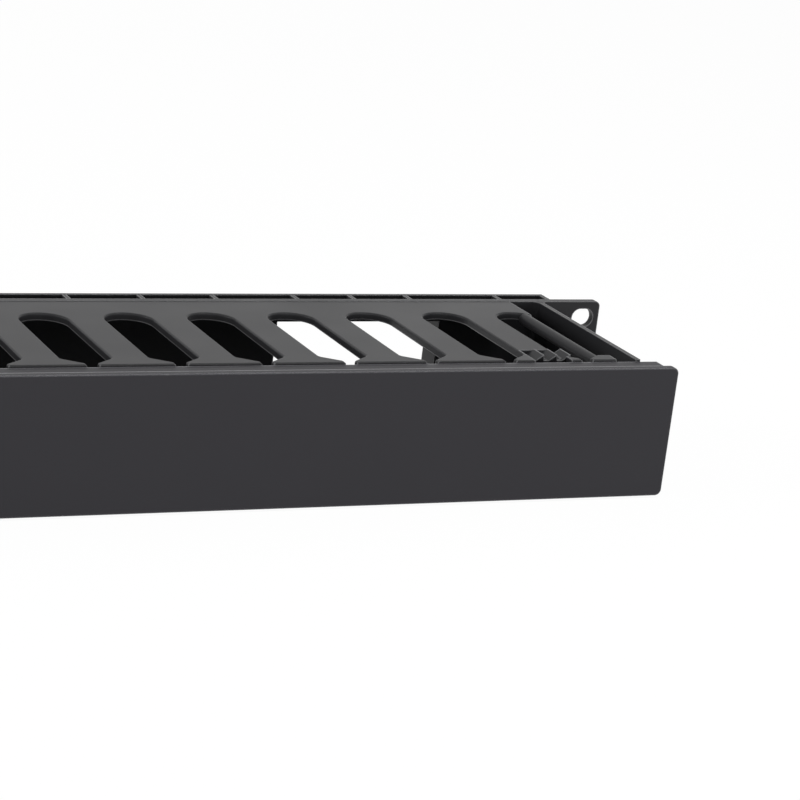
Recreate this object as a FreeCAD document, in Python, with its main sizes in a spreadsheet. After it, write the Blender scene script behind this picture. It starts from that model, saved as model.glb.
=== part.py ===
"""Horizontal cable manager, one rack unit high, with a push-on front cover.

Two moulded pieces. The duct body is drawn as one quarter (right and upper) and mirrored twice, as the real
tool is symmetrical. The front cover is drawn the same way.
Frame: X along the rack's width, Z up, +Y into the rack. The origin is the middle of the mounting plane, where
the ears' rear faces meet the rack's rails. All lengths are millimetres.
"""

import FreeCAD, Part
import math
import os

import Sketcher

Vector = FreeCAD.Vector

os.makedirs("parts", exist_ok=True)
doc = FreeCAD.newDocument("horizontal_cable_manager")

# --- Driving dimensions -------------------------------------------------------------------------------------
sheet = doc.addObject("Spreadsheet::Sheet", "dim")
SIZES = {
    # mounting sheet and ears
    "overall_width": 478.0,
    "panel_height": 43.7,
    "sheet_thickness": 2.6,
    "ear_corner": 2.0,
    "screw_inset": 6.45,
    "screw_spacing_up": 31.75,
    "screw_slot_length": 8.4,
    "screw_slot_width": 6.5,
    # stiffening frame behind the sheet, which passes between the rack's rails
    "ear_reach": 18.6,
    "frame_height": 43.4,
    "frame_depth": 7.0,
    "frame_wall": 1.3,
    "rib_thickness": 1.5,
    "web_thickness": 2.0,
    "end_rib_inset": 19.8,
    # cable windows through sheet and frame
    "window_inset": 74.1,
    "window_width": 60.2,
    "window_height": 29.4,
    # finger combs
    "comb_height": 43.4,
    "comb_thickness": 2.4,
    "comb_reach": 71.4,
    "end_bay": 12.9,
    "last_slot_inset": 6.7,
    "slot_width": 16.0,
    "slot_start": 16.0,
    "head_length": 7.9,
    "head_gap": 3.8,
    "shoulder_angle": 38.0,
    "shoulder_round": 2.0,
    "head_round": 0.9,
    "rim_round": 0.7,
    # round bar that stands in for the last finger, and its flat head
    "bar_diameter": 4.1,
    "bar_inset": 1.5,
    "bar_start": 17.6,
    "bar_head_overhang": 4.1,
    "bar_head_length": 5.0,
    # outer end walls
    "end_wall_inset": 23.4,
    "end_wall": 1.6,
    "end_wall_root": 2.0,
    # sprung tongues under the heads, which carry the cover
    "tongue_width": 17.0,
    "tongue_thickness": 1.5,
    "tongue_length": 5.4,
    "tongue_root": 3.6,
    # grip ridges on the head of the last full finger
    "ridge_offset": 6.2,
    "ridge_margin": 2.3,
    "ridge_width": 3.0,
    "ridge_length": 7.0,
    "ridge_setback": 4.4,
    "ridge_rise": 0.4,
    "ridge_sink": 1.5,
    "ridge_crest": 0.3,
    "ridge_notch_inset": 0.8,
    "ridge_notch_overrun": 2.2,
    # front cover
    "cover_overhang": 8.9,
    "cover_height": 43.7,
    "cover_thickness": 2.6,
    "cover_corner": 2.1,
    "cover_edge_round": 0.4,
    "flange_inset": 2.8,
    "flange_depth": 7.4,
    "flange_thickness": 1.6,
    "flange_setback": 0.85,
    "flange_bead": 0.2,
    "flange_bead_width": 1.2,
    # clearances
    "cover_clearance": 0.2,
    "tongue_clearance": 0.35,
}
SLOTS_FROM_MIDDLE = 8
TONGUES = 6
RIDGES = 3
BEYOND = 1.0  # how far a cut runs past the faces that it opens

# Sizes across the duct that follow from the overall width, from the ears inwards.
FOLLOWING = {
    "screw_spacing_across": "overall_width - 2 * screw_inset",
    "frame_width": "overall_width - 2 * ear_reach",
    "window_centre": "frame_width / 2 - window_inset",
    "end_wall_place": "overall_width / 2 - end_wall_inset",
    "comb_end": "end_wall_place - end_bay",
    "slot_pitch": "(comb_end - last_slot_inset) / %d" % (SLOTS_FROM_MIDDLE - 1),
    "bar_place": "comb_end - bar_inset",
    "bar_head_edge": "comb_end + bar_head_overhang",
    "finger_width": "slot_pitch - slot_width",
    "last_finger": "%g * slot_pitch - finger_width / 2" % (SLOTS_FROM_MIDDLE - 1.5),
    "ridge_pitch": "(finger_width - ridge_margin) / %d" % (RIDGES - 1),
    "ridge_place": "last_finger + ridge_offset",
    "ridge_notch_start": "last_finger + ridge_notch_inset",
    "ridge_notch_end": "last_finger + finger_width + ridge_notch_overrun",
    "cover_width": "2 * (end_wall_place + cover_overhang)",
    "flange_width": "cover_width - 2 * flange_inset",
}
# Ribs between sheet and frame wall: some stand from the middle, some by the window, one by the frame's end.
RIBS_FROM_MIDDLE = [18.3, 43.8, 69.3, 94.9]
RIBS_FROM_WINDOW = [-22.3, -1.3, 19.7]
RIBS = ["%g" % x for x in RIBS_FROM_MIDDLE] + ["window_centre + %g" % x for x in RIBS_FROM_WINDOW]
RIBS.append("frame_width / 2 - end_rib_inset")
FOLLOWING.update({"rib_place_%d" % n: rib for n, rib in enumerate(RIBS, start=1)})

cells = [(alias, str(size)) for alias, size in SIZES.items()]
cells += [(alias, "=" + formula) for alias, formula in FOLLOWING.items()]
for row, (alias, content) in enumerate(cells, start=1):
    sheet.set("A%d" % row, alias)
    sheet.set("B%d" % row, content)
    sheet.setAlias("B%d" % row, alias)
doc.recompute()
SIZES.update({alias: float(sheet.get(alias)) for alias in FOLLOWING})

# Places that several features share, as expressions of the sheet's cells.
COMB_TOP = "dim.comb_height / 2"
COMB_UNDER = "(dim.comb_height / 2 - dim.comb_thickness)"
SHOULDER = "(dim.comb_reach - dim.head_length)"
RIDGE_FRONT = "(dim.comb_reach - dim.ridge_setback)"
RIDGES_END = "(dim.ridge_place + %d * dim.ridge_pitch)" % (RIDGES - 1)
BAR_HEIGHT = "(dim.comb_height / 2 - dim.bar_diameter / 2)"
FLANGE_UNDER = "(dim.cover_height / 2 - dim.flange_setback - dim.flange_thickness)"
FLANGE_BACK = "(dim.comb_reach + dim.cover_clearance)"
FACE_BACK = "(dim.comb_reach + dim.cover_clearance + dim.flange_depth)"
TONGUE_TOP = "(%s - dim.tongue_clearance)" % FLANGE_UNDER


# --- Helpers ------------------------------------------------------------------------------------------------
def new_body(name):
    body = doc.addObject("PartDesign::Body", name)
    body.Label = name
    return body


def origin_feature(body, role):
    return next(f for f in body.Origin.OriginFeatures if f.Role == role)


def bind(feature, **expressions):
    """Binds properties to the sheet. A double underscore in a name stands for a dot."""
    for prop, expression in expressions.items():
        feature.setExpression(prop.replace("__", "."), expression)


def place(feature, x, y, z):
    bind(feature, Placement__Base__x=x, Placement__Base__y=y, Placement__Base__z=z)


def block(body, name, corner, size, cut=False):
    """A box feature: its lowest corner and its three sizes are expressions."""
    kind = "PartDesign::SubtractiveBox" if cut else "PartDesign::AdditiveBox"
    box = body.newObject(kind, name)
    place(box, *corner)
    bind(box, Length=size[0], Width=size[1], Height=size[2])
    doc.recompute()
    return box


def rod(body, name, start, diameter, length, cut=False):
    """A cylinder that runs from start towards -Y."""
    kind = "PartDesign::SubtractiveCylinder" if cut else "PartDesign::AdditiveCylinder"
    cylinder = body.newObject(kind, name)
    cylinder.Placement = FreeCAD.Placement(Vector(), FreeCAD.Rotation(Vector(1, 0, 0), 90))
    place(cylinder, *start)
    bind(cylinder, Radius="(%s) / 2" % diameter, Height=length)
    doc.recompute()
    return cylinder


def pattern_along_x(body, name, originals, count, pitch):
    pattern = body.newObject("PartDesign::LinearPattern", name)
    pattern.Originals = originals
    pattern.Direction = (origin_feature(body, "X_Axis"), [""])
    pattern.Occurrences = count
    bind(pattern, Length="%d * %s" % (count - 1, pitch))
    body.Tip = pattern
    doc.recompute()
    return pattern


def mirror_whole(body, name, role):
    """Adds the body's mirror image in one of its own planes."""
    mirror = body.newObject("PartDesign::Mirrored", name)
    mirror.TransformMode = "Whole shape"
    mirror.MirrorPlane = (origin_feature(body, role), [""])
    body.Tip = mirror
    doc.recompute()
    return mirror


def round_edges(body, name, radius, chosen):
    """A fillet on the edges that the function chosen accepts."""
    base = body.Tip
    names = ["Edge%d" % n for n, edge in enumerate(base.Shape.Edges, start=1) if chosen(edge)]
    if not names:
        raise RuntimeError("no edge found for " + name)
    fillet = body.newObject("PartDesign::Fillet", name)
    fillet.Base = (base, names)
    bind(fillet, Radius=radius)
    body.Tip = fillet
    doc.recompute()
    return fillet


def at(measured, wanted):
    return abs(measured - wanted) < 1e-4


def runs_along(edge, axis):
    """True for a straight edge parallel to the axis, given as a vector."""
    if edge.Degenerated or not isinstance(edge.Curve, Part.Line):
        return False
    return at(abs(edge.Curve.Direction.dot(axis)), 1)


def is_flat_at(edge, z):
    box = edge.BoundBox
    return at(box.ZMin, z) and at(box.ZMax, z)


# --- Slot profile -------------------------------------------------------------------------------------------
def slot_sketch(body, name):
    """One opening between two fingers, on the X = 0 line.

    From the back: a half-round root, two straight sides, sloping shoulders under the heads, and the narrow
    gap between the head tips, which runs out past the front. The right side is drawn, then the left.
    """
    s = SIZES
    half, gap = s["slot_width"] / 2, s["head_gap"] / 2
    r_in, r_out = s["shoulder_round"], s["head_round"]
    slope = math.radians(s["shoulder_angle"])
    sin, cos = math.sin(slope), math.cos(slope)
    root_y = -(s["slot_start"] + half)
    side_y = -(s["comb_reach"] - s["head_length"])
    run = (half - r_in * (1 - sin) - gap - r_out * (1 - sin)) / cos
    tip_y = side_y - (r_in + r_out) * cos - run * sin
    front_y = -(s["comb_reach"] + BEYOND)
    flat = Vector(0, 0, 1)

    sketch = body.newObject("Sketcher::SketchObject", name)
    sketch.AttachmentSupport = [(origin_feature(body, "XY_Plane"), "")]
    sketch.MapMode = "FlatFace"
    bind(sketch, AttachmentOffset__Base__z=COMB_TOP)

    def line(x1, y1, x2, y2):
        return sketch.addGeometry(Part.LineSegment(Vector(x1, y1), Vector(x2, y2)), False)

    def arc(x, y, radius, start, end):
        circle = Part.Circle(Vector(x, y), flat, radius)
        return sketch.addGeometry(Part.ArcOfCircle(circle, start, end), False)

    def rule(*parts):
        return sketch.addConstraint(Sketcher.Constraint(*parts))

    def sized(key, expression, *parts):
        index = rule(*parts)
        sketch.renameConstraint(index, key)
        bind(sketch, **{"Constraints__" + key: expression})

    quarter = math.pi / 2
    root = arc(0, root_y, half, 0, math.pi)
    side_r = line(half, root_y, half, side_y)
    inner_r = arc(half - r_in, side_y, r_in, slope - quarter, 0)
    shoulder_r = line(gap + r_out * (1 - sin), tip_y + r_out * cos, half - r_in * (1 - sin), side_y - r_in * cos)
    tip_r = arc(gap + r_out, tip_y, r_out, quarter + slope, math.pi)
    gap_r = line(gap, tip_y, gap, front_y)
    side_l = line(-half, root_y, -half, side_y)
    inner_l = arc(r_in - half, side_y, r_in, math.pi, math.pi + quarter - slope)
    shoulder_l = line(-gap - r_out * (1 - sin), tip_y + r_out * cos, r_in * (1 - sin) - half, side_y - r_in * cos)
    tip_l = arc(-gap - r_out, tip_y, r_out, 0, quarter - slope)
    gap_l = line(-gap, tip_y, -gap, front_y)
    front = line(-gap, front_y, gap, front_y)

    for first, first_end, second, second_end in (
        (root, 1, side_r, 1), (side_r, 2, inner_r, 2), (inner_r, 1, shoulder_r, 2),
        (shoulder_r, 1, tip_r, 1), (tip_r, 2, gap_r, 1),
        (root, 2, side_l, 1), (side_l, 2, inner_l, 1), (inner_l, 2, shoulder_l, 2),
        (shoulder_l, 1, tip_l, 2), (tip_l, 1, gap_l, 1),
    ):
        rule("Tangent", first, first_end, second, second_end)
    for upright in (side_r, side_l, gap_r, gap_l):
        rule("Vertical", upright)
    rule("PointOnObject", root, 3, -2)
    rule("Horizontal", side_r, 2, side_l, 2)
    rule("Horizontal", gap_r, 2, gap_l, 2)
    rule("Coincident", front, 1, gap_l, 2)
    rule("Coincident", front, 2, gap_r, 2)
    rule("Equal", inner_l, inner_r)
    rule("Equal", tip_l, tip_r)
    sized("root_radius", "dim.slot_width / 2", "Radius", root, half)
    sized("root_place", "dim.slot_start + dim.slot_width / 2", "DistanceY", root, 3, -1, 1, -root_y)
    sized("side_end", SHOULDER, "DistanceY", side_r, 2, -1, 1, -side_y)
    sized("shoulder_radius", "dim.shoulder_round", "Radius", inner_r, r_in)
    sized("head_radius", "dim.head_round", "Radius", tip_r, r_out)
    sized("slope_right", "dim.shoulder_angle * 1 deg", "Angle", shoulder_r, slope)
    sized("slope_left", "180 deg - dim.shoulder_angle * 1 deg", "Angle", shoulder_l, math.pi - slope)
    sized("gap_right", "dim.head_gap / 2", "DistanceX", -1, 1, gap_r, 1, gap)
    sized("gap_left", "dim.head_gap / 2", "DistanceX", gap_l, 1, -1, 1, gap)
    sized("run_out", "dim.comb_reach + %g" % BEYOND, "DistanceY", gap_r, 2, -1, 1, -front_y)
    doc.recompute()
    return sketch


# --- Duct body ----------------------------------------------------------------------------------------------
duct = new_body("duct_body")

# Mounting sheet with its ear, and the hollow frame behind it.
block(duct, "mounting_sheet", ("0", "-dim.sheet_thickness", "0"),
      ("dim.overall_width / 2", "dim.sheet_thickness", "dim.panel_height / 2"))
block(duct, "frame_back_wall", ("0", "dim.frame_depth - dim.frame_wall", "0"),
      ("dim.frame_width / 2", "dim.frame_wall", "dim.frame_height / 2"))
block(duct, "frame_web", ("0", "0", "0"), ("dim.frame_width / 2", "dim.frame_depth", "dim.web_thickness / 2"))
block(duct, "frame_end", ("dim.frame_width / 2 - dim.rib_thickness", "0", "0"),
      ("dim.rib_thickness", "dim.frame_depth", "dim.frame_height / 2"))
for number in range(1, len(RIBS) + 1):
    block(duct, "frame_rib_%d" % number, ("dim.rib_place_%d - dim.rib_thickness / 2" % number, "0", "0"),
          ("dim.rib_thickness", "dim.frame_depth", "dim.frame_height / 2"))

# Cable window: a tunnel wall round it, then the opening through sheet and frame.
block(duct, "window_wall", ("dim.window_centre - dim.window_width / 2 - dim.frame_wall", "0", "0"),
      ("dim.window_width + 2 * dim.frame_wall", "dim.frame_depth", "dim.window_height / 2 + dim.frame_wall"))
block(duct, "window", ("dim.window_centre - dim.window_width / 2", "-dim.sheet_thickness - %g" % BEYOND,
                       "-%g" % BEYOND),
      ("dim.window_width", "dim.sheet_thickness + dim.frame_depth + %g" % (2 * BEYOND),
       "dim.window_height / 2 + %g" % BEYOND), cut=True)

# Screw slot in the ear, lying along the rack's width.
slot_half = "(dim.screw_slot_length - dim.screw_slot_width) / 2"
screw_x, screw_z = "dim.screw_spacing_across / 2", "dim.screw_spacing_up / 2"
block(duct, "screw_slot", (screw_x + " - " + slot_half, "-dim.sheet_thickness - %g" % BEYOND,
                           screw_z + " - dim.screw_slot_width / 2"),
      ("2 * " + slot_half, "dim.sheet_thickness + %g" % (2 * BEYOND), "dim.screw_slot_width"), cut=True)
for side, sign in (("inner", " - "), ("outer", " + ")):
    rod(duct, "screw_slot_" + side, (screw_x + sign + slot_half, "%g" % BEYOND, screw_z),
        "dim.screw_slot_width", "dim.sheet_thickness + %g" % (2 * BEYOND), cut=True)

# Comb: a plate with the slots cut from it, and the flat head of the end bar at its corner.
block(duct, "comb_plate", ("0", "-dim.comb_reach", COMB_UNDER),
      ("dim.comb_end", "dim.comb_reach", "dim.comb_thickness"))
block(duct, "bar_head", ("dim.comb_end - %g" % BEYOND, "-dim.comb_reach", COMB_UNDER),
      ("dim.bar_head_edge - dim.comb_end + %g" % BEYOND, "dim.bar_head_length", "dim.comb_thickness"))
slot = duct.newObject("PartDesign::Pocket", "slot")
slot.Profile = slot_sketch(duct, "slot_profile")
bind(slot, Length="dim.comb_thickness + %g" % BEYOND)
duct.Tip = slot
doc.recompute()
slots = pattern_along_x(duct, "slots", [slot], SLOTS_FROM_MIDDLE, "dim.slot_pitch")

# The comb's upper rims are rounded all round each opening and along the heads.
comb_top = SIZES["comb_height"] / 2
sheet_front = -SIZES["sheet_thickness"]


def is_comb_rim(edge):
    box = edge.BoundBox
    on_sheet = at(box.YMin, sheet_front) or box.YMin > sheet_front
    on_middle = at(box.XMax, 0)
    on_end_head = box.XMin > SIZES["comb_end"] - BEYOND
    return is_flat_at(edge, comb_top) and not on_sheet and not on_middle and not on_end_head


round_edges(duct, "comb_rims", "dim.rim_round", is_comb_rim)

# Tongue under each head: a root that comes down from the head, and the strip that carries the cover.
tongue_x = "dim.slot_pitch / 2 - dim.tongue_width / 2"
root_block = block(duct, "tongue_root", (tongue_x, "-dim.comb_reach", TONGUE_TOP + " - dim.tongue_thickness"),
                   ("dim.tongue_width", "dim.tongue_root",
                    COMB_UNDER + " - " + TONGUE_TOP + " + dim.tongue_thickness + dim.comb_thickness / 2"))
tongue = block(duct, "tongue", (tongue_x, "-dim.comb_reach - dim.tongue_length",
                                TONGUE_TOP + " - dim.tongue_thickness"),
               ("dim.tongue_width", "dim.tongue_length + dim.tongue_root / 2", "dim.tongue_thickness"))
pattern_along_x(duct, "tongues", [root_block, tongue], TONGUES, "dim.slot_pitch")

# Round end bar: it grows from the comb's corner and runs forward into its own flat head.
bar_place = ("dim.bar_place", "-dim.bar_start", BAR_HEIGHT)
rod(duct, "end_bar", bar_place, "dim.bar_diameter", "dim.comb_reach - dim.bar_start - dim.bar_head_length / 2")
bar_nose = duct.newObject("PartDesign::AdditiveSphere", "end_bar_nose")
place(bar_nose, *bar_place)
bind(bar_nose, Radius="dim.bar_diameter / 2")
doc.recompute()

# Outer end wall, with a rounded root on the sheet.
block(duct, "end_wall", ("dim.end_wall_place - dim.end_wall", "-dim.comb_reach", "0"),
      ("dim.end_wall", "dim.comb_reach", COMB_TOP))


def is_end_wall_root(edge):
    middle = edge.BoundBox.Center
    beside = at(middle.x, SIZES["end_wall_place"]) or at(middle.x, SIZES["end_wall_place"] - SIZES["end_wall"])
    return runs_along(edge, Vector(0, 0, 1)) and beside and at(middle.y, sheet_front)


round_edges(duct, "end_wall_roots", "dim.end_wall_root", is_end_wall_root)

# Grip ridges on the last full finger's head: a shallow seat, three ridges in it, and a notch before them.
block(duct, "ridge_seat", ("dim.ridge_notch_start", "-" + RIDGE_FRONT, COMB_TOP + " - dim.ridge_sink"),
      (RIDGES_END + " - dim.ridge_notch_start", "dim.ridge_length", "dim.ridge_sink + %g" % BEYOND), cut=True)
ridge = duct.newObject("PartDesign::AdditiveWedge", "ridge")
ridge.Placement = FreeCAD.Placement(Vector(), FreeCAD.Rotation(Vector(1, 0, 0), 90))
place(ridge, "dim.ridge_place - dim.ridge_width", "dim.ridge_length - " + RIDGE_FRONT,
      COMB_TOP + " - dim.ridge_sink")
for prop in ("Xmin", "Ymin", "Zmin", "Z2min"):
    setattr(ridge, prop, 0)
bind(ridge, Xmax="dim.ridge_width", X2max="dim.ridge_width", X2min="dim.ridge_width - dim.ridge_crest",
     Ymax="dim.ridge_sink + dim.ridge_rise", Zmax="dim.ridge_length", Z2max="dim.ridge_length")
doc.recompute()
pattern_along_x(duct, "ridges", [ridge], RIDGES, "dim.ridge_pitch")
block(duct, "ridge_notch", ("dim.ridge_notch_start", "-dim.comb_reach - %g" % BEYOND,
                            COMB_UNDER + " - %g" % BEYOND),
      ("dim.ridge_notch_end - dim.ridge_notch_start", "dim.ridge_setback + %g" % BEYOND,
       "dim.comb_thickness + %g" % (2 * BEYOND)), cut=True)


def is_ear_corner(edge):
    middle = edge.BoundBox.Center
    corner = at(middle.x, SIZES["overall_width"] / 2) and at(middle.z, SIZES["panel_height"] / 2)
    return runs_along(edge, Vector(0, 1, 0)) and corner


round_edges(duct, "ear_corner", "dim.ear_corner", is_ear_corner)
mirror_whole(duct, "lower_half", "XY_Plane")
mirror_whole(duct, "left_half", "YZ_Plane")

# --- Front cover --------------------------------------------------------------------------------------------
cover = new_body("front_cover")
face_front = "-%s - dim.cover_thickness" % FACE_BACK
block(cover, "face", ("0", face_front, "0"),
      ("dim.cover_width / 2", "dim.cover_thickness", "dim.cover_height / 2"))
block(cover, "flange", ("0", "-" + FACE_BACK, FLANGE_UNDER),
      ("dim.flange_width / 2", "dim.flange_depth", "dim.flange_thickness"))
block(cover, "flange_bead", ("0", "-" + FLANGE_BACK + " - dim.flange_bead_width",
                             FLANGE_UNDER + " - dim.flange_bead"),
      ("dim.flange_width / 2", "dim.flange_bead_width", "dim.flange_bead"))
cover_right, cover_top = SIZES["cover_width"] / 2, SIZES["cover_height"] / 2


def is_cover_corner(edge):
    middle = edge.BoundBox.Center
    return runs_along(edge, Vector(0, 1, 0)) and at(middle.x, cover_right) and at(middle.z, cover_top)


round_edges(cover, "face_corner", "dim.cover_corner", is_cover_corner)
cover_front = cover.Tip.Shape.BoundBox.YMin


def is_face_rim(edge):
    """The outline of the front face, apart from the two lines where the mirror image joins on."""
    box = edge.BoundBox
    on_front = at(box.YMin, cover_front) and at(box.YMax, cover_front)
    return on_front and not at(box.XMax, 0) and not at(box.ZMax, 0)


round_edges(cover, "face_rim", "dim.cover_edge_round", is_face_rim)
mirror_whole(cover, "lower_half_of_cover", "XY_Plane")
mirror_whole(cover, "left_half_of_cover", "YZ_Plane")

# --- Check and write ----------------------------------------------------------------------------------------
doc.recompute()
for item in doc.Objects:
    if "Invalid" in item.State or "Error" in item.State:
        raise RuntimeError("%s is in state %s" % (item.Label, item.State))
pieces = [duct, cover]
for piece in pieces:
    shape = piece.Shape
    if shape.isNull() or not shape.isValid():
        raise RuntimeError("%s has no valid shape" % piece.Label)
    if len(shape.Solids) != 1:
        raise RuntimeError("%s is %d solids and not one" % (piece.Label, len(shape.Solids)))
for piece in pieces:
    piece.Shape.exportStep("parts/%s.step" % piece.Label)
    box = piece.Shape.BoundBox
    print("%s: %.1f cm3, %.1f x %.1f x %.1f mm, %d faces" % (
        piece.Label, piece.Shape.Volume / 1000, box.XLength, box.YLength, box.ZLength, len(piece.Shape.Faces)))
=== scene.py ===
# %% [markdown]
# # Horizontal cable manager
# A finger duct one rack unit high: a black ABS moulding that bolts to a 19-inch rack, and a cover that is
# pushed on to the finger ends. The solids come from the CAD frame, and this notebook gives them their
# surface, a studio and a camera. It models no piece of its own, because every rib and slot is in the solids.

# %% Load the frame
import math

import bmesh
import bpy
from mathutils import Matrix, Vector


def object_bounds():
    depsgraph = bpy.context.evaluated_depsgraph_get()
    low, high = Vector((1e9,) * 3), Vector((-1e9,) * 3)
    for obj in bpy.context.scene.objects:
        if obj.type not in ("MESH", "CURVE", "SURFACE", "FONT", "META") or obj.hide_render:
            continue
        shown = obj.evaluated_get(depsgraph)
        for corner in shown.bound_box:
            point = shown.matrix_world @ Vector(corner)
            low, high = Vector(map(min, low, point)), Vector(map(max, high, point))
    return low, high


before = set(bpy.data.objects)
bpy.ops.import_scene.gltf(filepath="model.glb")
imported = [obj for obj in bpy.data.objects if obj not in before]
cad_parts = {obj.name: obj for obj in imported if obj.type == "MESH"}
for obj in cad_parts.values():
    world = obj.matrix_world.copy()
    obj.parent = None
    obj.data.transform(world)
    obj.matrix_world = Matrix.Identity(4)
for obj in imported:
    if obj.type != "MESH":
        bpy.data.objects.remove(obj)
CAD_LOW, CAD_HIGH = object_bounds()
scene = bpy.context.scene
print("frame:", sorted(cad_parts), "box", [round(v, 4) for v in CAD_HIGH - CAD_LOW])

# %% [markdown]
# ## Helpers for materials
# Colours are written as sRGB hex values, as in a paint program, and one function turns them to the linear
# numbers that the shader needs. Linear numbers could be written straight away, but a grey is hard to read
# from them. One more function adds a node, with its settings and links, so that a material reads as a list.

# %% Material helpers
MM = 0.001


def linear(hex_colour):
    """sRGB hex such as "2b2b2d" to linear RGBA."""
    channels = [int(hex_colour[n:n + 2], 16) / 255 for n in (0, 2, 4)]
    return [c / 12.92 if c <= 0.04045 else ((c + 0.055) / 1.055) ** 2.4 for c in channels] + [1.0]


def add(tree, kind, settings=None, **inputs):
    """Adds a node. settings are its own properties; inputs are numbers or sockets.

    An input is named as in Blender with _ for a space, or n and its number, such as n0.
    """
    node = tree.nodes.new(kind)
    for name, value in (settings or {}).items():
        setattr(node, name, value)
    for name, value in inputs.items():
        numbered = name[0] == "n" and name[1:].isdigit()
        socket = node.inputs[int(name[1:]) if numbered else name.replace("_", " ")]
        if isinstance(value, bpy.types.NodeSocket):
            tree.links.new(value, socket)
        else:
            socket.default_value = value
    return node


def new_material(name):
    material = bpy.data.materials.new(name)
    material.use_nodes = True
    tree = material.node_tree
    tree.nodes.clear()
    return material, tree


print("2b2b2d is", [round(c, 3) for c in linear("2b2b2d")[:3]], "in linear numbers")

# %% [markdown]
# ## Moulded ABS
# Both pieces are injection moulded in ABS, whose refractive index is about 1.53. A slow noise varies colour and
# roughness a little, as the flow in the mould does over some 40 mm, and a fine one gives the satin grain. Real
# grain is about 0.1 mm, too fine to show, so it is drawn at 0.3 mm. The Bevel node rounds every edge in the
# shading, as a mould does. A real bevel would do it too, but on this many rims it would cost far more faces.
#
# Handling polishes the outward edges first, so there the roughness is lower. The Ambient Occlusion node finds
# them when it looks inward, because just inside an edge a ray soon meets the next face. The same mask also
# paints a paler colour along these edges, a painted highlight that stands in for the light the rims catch.

# %% Moulded ABS
ABS_IOR = 1.53
FLOW_MM = 40
FLOW_ROUGHNESS = 0.03
GRAIN_MM = 0.3
GRAIN_STRENGTH = 0.35
EDGE_RADIUS_MM = 0.3
EDGE_HIGHLIGHT_AND_POLISH_REACH_MM = 0.5
POLISH_SMOOTHER = 0.15


def moulded_abs(name, colour, flow_colour, painted_edge_highlight_colour, roughness, specular, grain_height_mm):
    material, tree = new_material(name)
    place = add(tree, "ShaderNodeTexCoord").outputs["Object"]
    flow = add(tree, "ShaderNodeTexNoise", Vector=place, Scale=1 / (FLOW_MM * MM), Detail=2.0, Roughness=0.5)
    grain = add(tree, "ShaderNodeTexNoise", Vector=place, Scale=1 / (GRAIN_MM * MM), Detail=2.0, Roughness=0.6)
    inward = add(tree, "ShaderNodeAmbientOcclusion", {"inside": True, "only_local": True, "samples": 8},
                 Distance=EDGE_HIGHLIGHT_AND_POLISH_REACH_MM * MM)
    # Edge mask: it paints a paler colour along outward edges as a painted highlight, and lowers the roughness
    # there.
    edge_highlight_and_polish_mask = add(tree, "ShaderNodeMapRange", Value=inward.outputs["AO"], From_Min=0.9, From_Max=0.7,
                   To_Min=0.0, To_Max=1.0)
    tint = add(tree, "ShaderNodeMix", {"data_type": "RGBA"}, n0=flow.outputs["Fac"],
               n6=linear(colour), n7=linear(flow_colour))
    # Mixes in the painted edge highlight colour along the outward edges.
    base = add(tree, "ShaderNodeMix", {"data_type": "RGBA"}, n0=edge_highlight_and_polish_mask.outputs["Result"],
               n6=tint.outputs[2], n7=linear(painted_edge_highlight_colour))
    rough = add(tree, "ShaderNodeMapRange", Value=flow.outputs["Fac"], From_Min=0.3, From_Max=0.7,
                To_Min=roughness - FLOW_ROUGHNESS, To_Max=roughness + FLOW_ROUGHNESS)
    smooth = add(tree, "ShaderNodeMath", {"operation": "MULTIPLY_ADD"}, n0=edge_highlight_and_polish_mask.outputs["Result"],
                 n1=-POLISH_SMOOTHER, n2=rough.outputs["Result"])
    edges = add(tree, "ShaderNodeBevel", {"samples": 6}, Radius=EDGE_RADIUS_MM * MM)
    bump = add(tree, "ShaderNodeBump", Strength=GRAIN_STRENGTH, Distance=grain_height_mm * MM,
               Height=grain.outputs["Fac"], Normal=edges.outputs["Normal"])
    shader = add(tree, "ShaderNodeBsdfPrincipled", Base_Color=base.outputs[2], Roughness=smooth.outputs[0],
                 IOR=ABS_IOR, Specular_IOR_Level=specular, Normal=bump.outputs["Normal"])
    add(tree, "ShaderNodeOutputMaterial", Surface=shader.outputs["BSDF"])
    print(name, "has", len(tree.nodes), "nodes")
    return material


# %% [markdown]
# ## Two finishes
# The duct body has the satin of a smooth steel tool. The cover is made as from a finely textured one, so it is
# a little rougher, with a deeper grain and a paler painted edge highlight. Each piece has one finish all over,
# so it needs one material, and what it had is cleared first.

# %% Duct and cover material
# The third colour of each finish is a painted highlight along the outward edges.
duct_abs = moulded_abs("black_abs_moulded_satin", "2b2b2d", "2f2f31", "808082",
                       roughness=0.4, specular=0.12, grain_height_mm=0.02)
cover_abs = moulded_abs("black_abs_fine_matt_cover", "302f33", "343337", "b4b4b8",
                        roughness=0.48, specular=0.15, grain_height_mm=0.03)
for node, material in (("duct_body", duct_abs), ("front_cover", cover_abs)):
    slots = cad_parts[node].data.materials
    slots.clear()
    slots.append(material)
    print(node, "is", material.name)

# %% [markdown]
# ## Background
# Black plastic in a white room would turn grey if the room's white were also its light. So the world has two
# strengths: full white for what is seen straight, in a reflection or through glass, and about a quarter of that
# for the light that falls on the object. The Light Path node tells the two apart.

# %% Background
WHITE = (1, 1, 1, 1)
WORLD_LIGHT = 0.24


def seen_directly(tree):
    """1 for what the camera sees straight, in a reflection or through glass, 0 for the light on the object."""
    path = add(tree, "ShaderNodeLightPath")
    seen = path.outputs["Is Camera Ray"]
    for kind in ("Is Glossy Ray", "Is Transmission Ray"):
        seen = add(tree, "ShaderNodeMath", {"operation": "MAXIMUM"}, n0=seen, n1=path.outputs[kind]).outputs[0]
    return seen


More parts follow.
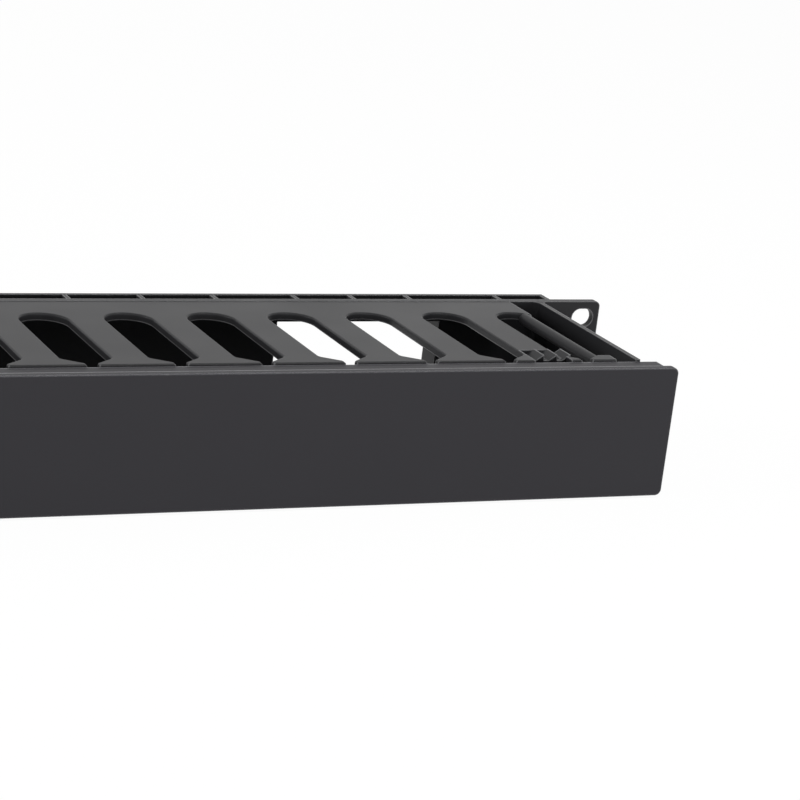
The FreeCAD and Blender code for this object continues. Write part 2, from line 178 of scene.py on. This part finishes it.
world = bpy.data.worlds.new("studio_world")
world.use_nodes = True
scene.world = world
tree = world.node_tree
tree.nodes.clear()
strength = add(tree, "ShaderNodeMix", {"data_type": "FLOAT"}, n0=seen_directly(tree), n2=WORLD_LIGHT, n3=1.0)
sky = add(tree, "ShaderNodeBackground", Color=WHITE, Strength=strength.outputs[0])
add(tree, "ShaderNodeOutputWorld", Surface=sky.outputs["Background"])
print("world: white where it is seen,", WORLD_LIGHT, "as light")

# %% [markdown]
# ## Lights
# Four area lights, which are soft, because a hard lamp would leave sharp shadows between the fingers. A long
# low strip in front lights the cover and the ears. A small box overhead lights the rear frame, the ears and
# the cover's upper edge. A box from the left reaches the end bar and the inside of the right end wall. A weak
# wide box behind lifts the combs' tops a little, but most of their light comes from the white world.

# %% Lights
def area_light(name, place, target, size, power):
    data = bpy.data.lights.new(name, "AREA")
    data.shape = "RECTANGLE"
    data.size, data.size_y = size
    data.energy = power
    lamp = bpy.data.objects.new(name, data)
    scene.collection.objects.link(lamp)
    lamp.location = place
    lamp.rotation_euler = (Vector(target) - Vector(place)).to_track_quat("-Z", "Y").to_euler()
    print(name, power, "W")


area_light("back_soft_box", (0.3, 1.3, 0.75), (0.05, -0.04, 0), (1.6, 0.7), 0.6)
area_light("overhead_box", (0.5, -0.3, 1.0), (0.1, -0.04, 0), (0.35, 0.35), 3.2)
area_light("left_box", (-1.4, 0.15, 0.55), (0.1, -0.04, 0), (0.8, 0.5), 8.0)
area_light("front_strip", (0.35, -1.5, 0.1), (0.1, -0.08, 0), (1.8, 0.2), 8.5)

# %% [markdown]
# ## Floor
# A sheet of white paper, a hair below the part so that the two faces never flicker. It mixes a glow, so that
# it is seen as white as the world, with a small share of plain matt paper, which keeps the part's shadow.

# %% Floor
FLOOR_HALF_WIDTH = 6
FLOOR_GAP = 0.5 * MM
PAPER_GLOW = 1.06
SHADOW_SHARE = 0.1
floor_mesh = bpy.data.meshes.new("floor")
bm = bmesh.new()
bmesh.ops.create_grid(bm, x_segments=1, y_segments=1, size=FLOOR_HALF_WIDTH)
bmesh.ops.translate(bm, verts=bm.verts, vec=(0, 0, CAD_LOW.z - FLOOR_GAP))
bm.to_mesh(floor_mesh)
bm.free()
floor = bpy.data.objects.new("floor", floor_mesh)
scene.collection.objects.link(floor)
white, tree = new_material("white_paper_sweep")
glow = add(tree, "ShaderNodeEmission", Color=WHITE, Strength=PAPER_GLOW)
paper = add(tree, "ShaderNodeBsdfDiffuse", Color=linear("e8e8e8"))
share = add(tree, "ShaderNodeMath", {"operation": "MULTIPLY"}, n0=seen_directly(tree), n1=1 - SHADOW_SHARE)
mix = add(tree, "ShaderNodeMixShader", n0=share.outputs[0], n1=paper.outputs[0], n2=glow.outputs[0])
add(tree, "ShaderNodeOutputMaterial", Surface=mix.outputs[0])
floor.data.materials.append(white)
print("floor at", round(CAD_LOW.z - FLOOR_GAP, 4))

# %% [markdown]
# ## Camera
# A long lens stands at the front left, above the part, and looks across it to the right-hand end, so the
# cover, the upper comb and the right ear all show. It is turned, then tipped down, then rolled, so the three
# steps build the camera's own axes one after another. The frame is shifted downwards and not sideways, so
# that the part stays in the picture from other angles too.

# %% Camera
LENS_MM, SENSOR_MM = 119.925, 36
SHIFT_UP = -0.1625
YAW, PITCH, ROLL = (math.radians(v) for v in (-26.68, 13.54, 7.10))
PLACE = Vector((-234.3, -785.5, 243.8)) * MM
NEAREST, FARTHEST = 0.01, 50
side = Vector((math.cos(YAW), math.sin(YAW), 0))
ahead = Vector((-math.sin(YAW), math.cos(YAW), 0))
up = Vector((0, 0, 1))
ahead, up = ahead * math.cos(PITCH) - up * math.sin(PITCH), up * math.cos(PITCH) + ahead * math.sin(PITCH)
side, up = side * math.cos(ROLL) + up * math.sin(ROLL), up * math.cos(ROLL) - side * math.sin(ROLL)
camera_data = bpy.data.cameras.new("camera")
camera_data.sensor_width = SENSOR_MM
camera_data.lens = LENS_MM
camera_data.shift_y = SHIFT_UP
camera_data.clip_start, camera_data.clip_end = NEAREST, FARTHEST
camera = bpy.data.objects.new("camera", camera_data)
camera.matrix_world = Matrix((side, up, -ahead)).transposed().to_4x4()
camera.location = PLACE
scene.collection.objects.link(camera)
scene.camera = camera
scene.view_settings.view_transform = "Standard"
print("camera at", [round(v, 3) for v in PLACE], "lens", LENS_MM)
